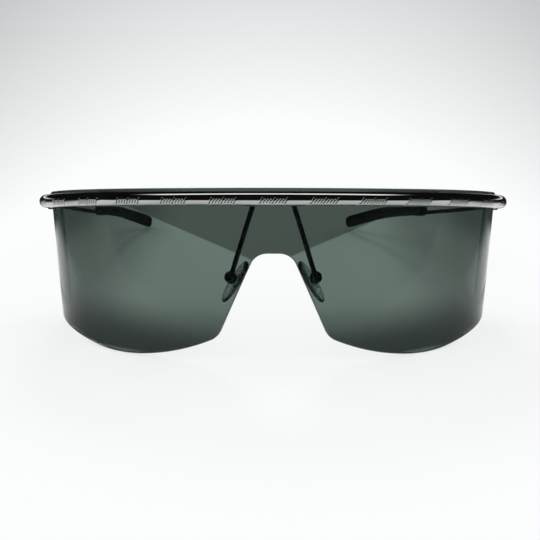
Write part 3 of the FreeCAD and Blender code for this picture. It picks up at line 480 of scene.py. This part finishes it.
def makeTube():
    runs = tubeStations()
    band = math.degrees(strokes["half"] / tube["radius"])
    start, sides = strokes["middle"] - band, tube["bandSides"]
    fine = [start + 2 * band * i / sides for i in range(sides + 1)]
    rest = [fine[-1] + (360 - 2 * band) * i / tube["restSides"] for i in range(1, tube["restSides"])]
    angles = [math.radians(angle) for angle in fine + rest]
    count = len(angles)
    points, marks = [], []
    for run in runs:
        axis, out = alongTube(run)
        for angle in angles:
            height = math.radians(math.degrees(angle) - strokes["middle"]) * tube["radius"]
            mark = strokeDepth(run, height) if abs(height) < strokes["half"] else 0.0
            radius = tube["radius"] - strokes["depth"] * mark
            across = max(-tube["flat"], radius * math.cos(angle))
            points.append(axis + out * across + upward * radius * math.sin(angle))
            marks.append(mark)
    bores = runs[::tube["boreEvery"]]
    if bores[-1] != runs[-1]:
        bores.append(runs[-1])
    first = len(points)
    for run in bores:
        axis, out = alongTube(run)
        for angle in angles:
            points.append(axis + (out * math.cos(angle) + upward * math.sin(angle)) * tube["bore"])
            marks.append(0.0)
    faces = ringFaces(0, len(runs), count)
    faces += [(a, d, c, b) for a, b, c, d in ringFaces(first, len(bores), count)]
    lastOut, lastIn = first - count, len(points) - count
    for j in range(count):
        k = (j + 1) % count
        faces.append((j, k, first + k, first + j))
        faces.append((lastOut + k, lastOut + j, lastIn + j, lastIn + k))
    piece = makePiece("engraved_tube", points, faces, "front", [finishes["chrome"]])
    layer = piece.data.attributes.new("mark", "FLOAT", "POINT")
    layer.data.foreach_set("value", marks)
    ends = {start + j for start in (0, lastOut, first, lastIn) for j in range(count)}
    crease = piece.data.attributes.new("sharp_edge", "BOOLEAN", "EDGE")
    crease.data.foreach_set("value", [edge.vertices[0] in ends and edge.vertices[1] in ends
                                      for edge in piece.data.edges])
    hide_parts("brow_bar")


makeTube()
print("tube made")


def roundedForm(spot, rings, spokes, sharp):
    # a closed soft form: out over one side, round the rim and back in over the other
    points, faces = [spot(0, 1, 0)], []
    for i in range(1, rings + 1):
        angle = math.pi * i / (rings + 1)
        reach, lift = math.sin(angle) ** sharp, math.cos(angle)
        lift = math.copysign(abs(lift) ** sharp, lift)
        points += [spot(reach, lift, 2 * math.pi * j / spokes) for j in range(spokes)]
    points.append(spot(0, -1, 0))
    last, lastRing = len(points) - 1, 1 + (rings - 1) * spokes
    for j in range(spokes):
        k = (j + 1) % spokes
        faces.append((0, 1 + j, 1 + k))
        for a in range(1, lastRing, spokes):
            faces.append((a + j, a + spokes + j, a + spokes + k, a + k))
        faces.append((last, lastRing + k, lastRing + j))
    return points, faces


def outward(piece):
    shape = bmesh.new()
    shape.from_mesh(piece.data)
    bmesh.ops.recalc_face_normals(shape, faces=shape.faces)
    shape.to_mesh(piece.data)
    shape.free()


# nose pads: crowned, with a dish that takes the box of the arm
pad = {"length": 13.2, "width": 6.4, "thickness": 2.0, "reach": 11.8, "depth": 10.2, "drop": 21.6,
       "shift": 0.5, "setback": 0.8, "lean": 31.0, "splay": 20.0, "seat": 1.95, "back": 1.15,
       "rings": 26, "spokes": 72, "sharp": 0.58, "crown": 0.35, "rim": 0.84}


def makePad(tag, side):
    basis = Matrix(((0, 0, -side), (-side, 0, 0), (0, 1, 0))).to_4x4()
    lean = Matrix.Rotation(-side * math.radians(pad["lean"]), 4, "Y")
    splay = Matrix.Rotation(-side * math.radians(pad["splay"]), 4, "Z")
    place = Matrix.Translation((side * pad["reach"], pad["depth"], -pad["drop"])) @ lean @ splay @ basis
    paintedRimShade = []

    def spot(reach, lift, angle):
        # painted rim shade: none inside the pad's rim share, full at the edge
        paintedRimShade.append(max(0, (reach - pad["rim"]) / (1 - pad["rim"])))
        x = -side * pad["setback"] + math.cos(angle) * reach * pad["width"] / 2
        y = -pad["shift"] + math.sin(angle) * reach * pad["length"] / 2
        z = pad["back"] + (1 + lift) * pad["thickness"] / 2
        dish = pad["seat"] ** 2 - x ** 2 - y ** 2
        if lift > 0:
            z -= pad["crown"] * reach ** 2 * lift
        elif dish > 0:
            z = max(z, math.sqrt(dish))
        return place @ Vector((x, y, z))

    points, faces = roundedForm(spot, pad["rings"], pad["spokes"], pad["sharp"])
    piece = makePiece(tag + "_soft_pad", points, faces, tag + "_pad", [finishes["silicone"]])
    outward(piece)
    # the painted rim shade goes to the silicone as the rim attribute
    layer = piece.data.attributes.new("rim", "FLOAT", "POINT")
    layer.data.foreach_set("value", paintedRimShade)
    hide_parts(tag + "_nose_pad")


for tag, side in (("left", -1), ("right", 1)):
    makePad(tag, side)
print("pads made")

# temple tips with their ends rounded over, in metres
tip = {"cell": 0.00028, "round": 0.0034, "look": 0.008, "slice": 0.001, "least": 0.3, "power": 2.4,
       "passes": 10, "ease": 0.5}


def makeTip(tag):
    node = tag + "_temple_tip"
    piece = bpy.data.objects.new(tag + "_rounded_tip", frame["nodes"][node].data.copy())
    bpy.context.scene.collection.objects.link(piece)
    skin = piece.modifiers.new("skin", "REMESH")
    skin.mode, skin.voxel_size, skin.use_smooth_shade = "VOXEL", tip["cell"], True
    mesh = bpy.data.meshes.new_from_object(piece.evaluated_get(bpy.context.evaluated_depsgraph_get()))
    piece.modifiers.clear()
    piece.data = mesh
    root = Vector(joints[tag + "_temple_fold"]["pos_m"])
    shape = bmesh.new()
    shape.from_mesh(mesh)

    # the end's direction, from a slice some way in to the slice at the end
    far = max((vert.co - root).length for vert in shape.verts)
    spots = [(vert.co, far - (vert.co - root).length) for vert in shape.verts]
    near = [spot for spot, away in spots if abs(away - tip["look"]) < tip["slice"]]
    last = [spot for spot, away in spots if away < tip["slice"]]
    middle, end = sum(near, Vector()) / len(near), sum(last, Vector()) / len(last)
    axis = (end - middle).normalized()
    reach = max((vert.co - middle).dot(axis) for vert in shape.verts)
    moved = []
    for vert in shape.verts:
        along = (vert.co - middle).dot(axis)
        share = (along - reach) / tip["round"] + 1
        if share > 0:
            centre = middle + (end - middle) * (along / (end - middle).length)
            keep = max(tip["least"], max(0, 1 - share ** tip["power"]) ** (1 / tip["power"]))
            lengthwise = axis * (vert.co - centre).dot(axis)
            vert.co = centre + lengthwise + (vert.co - centre - lengthwise) * keep
            moved.append(vert)
    for _ in range(tip["passes"]):
        bmesh.ops.smooth_vert(shape, verts=moved, factor=tip["ease"],
                              use_axis_x=True, use_axis_y=True, use_axis_z=True)
    shape.to_mesh(mesh)
    shape.free()
    mesh.materials.clear()
    mesh.materials.append(finishes["plastic"])
    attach(piece, tag + "_temple")
    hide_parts(node)


for tag in ("left", "right"):
    makeTip(tag)
print("tips made")

# gasket between the lens and the bridge plate
gasket = {"half": 7.2, "height": 3.2, "thickness": 0.3, "square": 0.22, "rings": 14, "spokes": 96,
          "sharp": 0.35}


def gasketSpot(reach, lift, angle):
    along, up = math.cos(angle), math.sin(angle)
    along = math.copysign(abs(along) ** gasket["square"], along)
    up = math.copysign(abs(up) ** gasket["square"], up)
    depth = lens["thickness"] + (1 - lift) * gasket["thickness"] / 2
    return onLens(along * reach * gasket["half"], up * reach * gasket["height"] / 2, depth)


points, faces = roundedForm(gasketSpot, gasket["rings"], gasket["spokes"], gasket["sharp"])
seal = makePiece("soft_gasket", points, faces, "front", [finishes["milky"]])
outward(seal)
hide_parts("bridge_gasket")
print("gasket made")

# painted falloff: table and backdrop are painted darker away from the glasses and towards the sides, as if
# the light fell off there
paintedDusk = {"back": 0.35, "high": 0.0945, "from": 0.11, "side": 1.4, "widest": 0.26, "slope": 2.0, "most": 0.5}


def paintedDuskShare(aside, below):
    aside = aside.atMost(paintedDusk["widest"])
    drop = (aside * aside * paintedDusk["side"] + paintedDusk["from"] - below) * paintedDusk["slope"]
    return drop.atLeast(0.0).atMost(paintedDusk["most"])


# table, in metres; here and in the room, a pair of numbers is where a step starts and where it ends
table = {"back": 4.0, "front": 4.0, "wide": 5.0, "white": colour(0.90, 0.905, 0.91),
         "black": colour(0.01, 0.01, 0.01), "glow": 0.7, "glowColour": colour(0.99, 0.995, 1.0)}
mesh = bpy.data.meshes.new("table")
corners = [(-1, -table["front"]), (1, -table["front"]), (1, table["back"]), (-1, table["back"])]
mesh.from_pydata([(x * table["wide"], y, 0) for x, y in corners], [], [(0, 1, 2, 3)])
floor = bpy.data.objects.new("table", mesh)
bpy.context.scene.collection.objects.link(floor)
made, graph = newFinish("white_table")
spot = graph.add("ShaderNodeNewGeometry", output="Position")
across, deep = [graph.add("ShaderNodeSeparateXYZ", None, {0: spot}, i) for i in range(2)]
side = abs(across)

# painted reflection: to mirror rays the table is painted black, and stays white only close in front, out
# at the sides and far behind
mirror = {"spread": 0.5, "fade": 0.045, "front": (-0.26, -0.18), "wingFrom": (0.078, 0.088),
          "wingTo": (0.12, 0.19), "wingFront": (-0.06, -0.04), "wingBack": (0.05, 0.09),
          "far": (0.3, 0.6), "farSide": (0.1, 0.15)}
away = (side * mirror["spread"] + deep).atLeast(0.0)
near = away.maths("EXPONENT", away * (-1 / mirror["fade"])) * graph.step(deep, *mirror["front"])
wing = graph.step(side, *mirror["wingFrom"]) * (1 - graph.step(side, *mirror["wingTo"])) * \
    graph.step(deep, *mirror["wingFront"]) * (1 - graph.step(deep, *mirror["wingBack"]))
far = graph.step(deep, *mirror["far"]) * (1 - graph.step(side, *mirror["farSide"]))
mirrored = near.atLeast(wing).atLeast(far)

# painted shadow: to rays through the lens the table is painted darker between the tips, at the foot of the
# lens and out at the sides
beyond = {"lean": 1.7, "shift": 0.002, "apex": (0.0163, 0.0193), "deepShade": 0.57,
          "footBow": 6.5, "footWide": 0.06, "foot": (-0.080, -0.032), "footShade": 0.74,
          "side": (0.040, 0.068), "sideShade": 0.45, "corner": (0.068, 0.1), "cornerDeep": (0.02, 0.1),
          "cornerShade": 0.3, "lensFront": (-0.0895, -0.0865)}
reach = deep - abs(across + beyond["shift"]) * beyond["lean"]
bow = side.atMost(beyond["footWide"])
foot = deep - bow * bow * beyond["footBow"]
corner = graph.step(side, *beyond["corner"]) * graph.step(deep, *beyond["cornerDeep"])
paintedLitShare = (1 - graph.step(reach, *beyond["apex"]) * beyond["deepShade"]) * \
    (1 - (1 - graph.step(foot, *beyond["foot"])) * beyond["footShade"]) * \
    (1 - graph.step(side, *beyond["side"]) * beyond["sideShade"] - corner * beyond["cornerShade"])
underGlass = graph.rayKind("Transmission") * graph.step(foot, *beyond["lensFront"])

# painted shade: the share of black that mirror rays and rays through the lens see on the table
shade = graph.mirrorRay() * (1 - mirrored) + underGlass * (1 - paintedLitShare)
distance = side.maths("SQRT", side * side + deep * deep) + paintedDusk["back"]
# painted falloff on the table's glow
paintedDim = paintedDuskShare(side / distance, paintedDusk["high"] / distance) / table["glow"]
white = graph.add("ShaderNodeBsdfDiffuse", None, {"Color": table["white"]})
# black diffuse for the painted reflection and the painted shadow on the table
black = graph.add("ShaderNodeBsdfDiffuse", None, {"Color": table["black"]})
glow = graph.add("ShaderNodeEmission", None, {
    "Color": graph.mix(paintedDim, table["glowColour"], colour(0, 0, 0)), "Strength": 1.0})
seen = graph.blendOf(shade, white, black)
graph.finish(graph.blendOf(graph.rayKind("Camera") * table["glow"], seen, glow))
mesh.materials.append(made)

# a pale room that mirrors see dark, but for the lamp overhead and the light behind
room = {"colour": colour(0.98, 0.99, 1.0), "fill": 0.8, "dark": 0.006, "lamp": 1.6,
        "lampAcross": (0.5, 0.7), "lampDeep": (0.14, 0.22), "flattest": 0.001,
        "back": 0.9, "behind": (0.45, 0.8), "low": (0.02, 0.1)}
world = bpy.data.worlds.new("room")
bpy.context.scene.world = world
graph = Graph(world)
sky = graph.add("ShaderNodeTexCoord", output="Generated")
across, deep, high = [graph.add("ShaderNodeSeparateXYZ", None, {0: sky}, i) for i in range(3)]
rise = high.atLeast(room["flattest"])
overhead = (1 - graph.step(abs(across / rise), *room["lampAcross"])) * \
    (1 - graph.step(abs(deep / rise), *room["lampDeep"]))
behind = graph.step(deep, *room["behind"]) * (1 - graph.step(high, *room["low"]))
dulled = 1 - room["dark"] - overhead * room["lamp"] - behind * room["back"]
# to camera rays the backdrop is painted darker by the same painted falloff
strength = 1 - graph.rayKind("Camera") * paintedDuskShare(abs(across), high * -1) - \
    graph.rayKind("Diffuse") * (1 - room["fill"]) - graph.mirrorRay() * dulled
shine = graph.add("ShaderNodeBackground", None, {"Color": room["colour"], "Strength": strength})
graph.add("ShaderNodeOutputWorld", None, {0: shine})

# soft windows behind, behind left and behind right
windowColour = (1.0, 0.99, 0.97)
windows = {
    "windowBack": {"azimuth": -4, "elevation": 34, "power": 0.8, "soft": 14},
    "windowLeft": {"azimuth": -58, "elevation": 22, "power": 0.5, "soft": 18},
    "windowRight": {"azimuth": 58, "elevation": 22, "power": 0.5, "soft": 18},
}
for name, window in windows.items():
    data = bpy.data.lights.new(name, "SUN")
    data.energy, data.angle, data.color = window["power"], math.radians(window["soft"]), windowColour
    lamp = bpy.data.objects.new(name, data)
    turn, climb = math.radians(window["azimuth"]), math.radians(window["elevation"])
    aim = -Vector((math.sin(turn) * math.cos(climb), math.cos(turn) * math.cos(climb), math.sin(climb)))
    lamp.rotation_euler = aim.to_track_quat("-Z", "Y").to_euler()
    lamp.visible_glossy = False
    bpy.context.scene.collection.objects.link(lamp)

# camera, in front of the lens and a little above the table; its focal length is in widths of the picture
shot = {"at": (-0.9, -268.0, -5.5), "pitch": 2.9, "roll": 0.1, "focal": 1000 / 540, "sensor": 36.0,
        "nearest": 0.01}
data = bpy.data.cameras.new("camera")
data.lens, data.clip_start = shot["focal"] * shot["sensor"], shot["nearest"]
data.sensor_width, data.sensor_fit = shot["sensor"], "HORIZONTAL"
camera = bpy.data.objects.new("camera", data)
bpy.context.scene.collection.objects.link(camera)
pitch = Matrix.Rotation(math.pi / 2 - tilt - math.radians(shot["pitch"]), 4, "X")
roll = Matrix.Rotation(math.radians(shot["roll"]), 4, "Z")
camera.matrix_world = Matrix.Translation(toRow @ Vector(shot["at"])) @ pitch @ roll
bpy.context.scene.camera = camera
bpy.context.scene.view_settings.view_transform = "Standard"
print("stage, light and camera set")
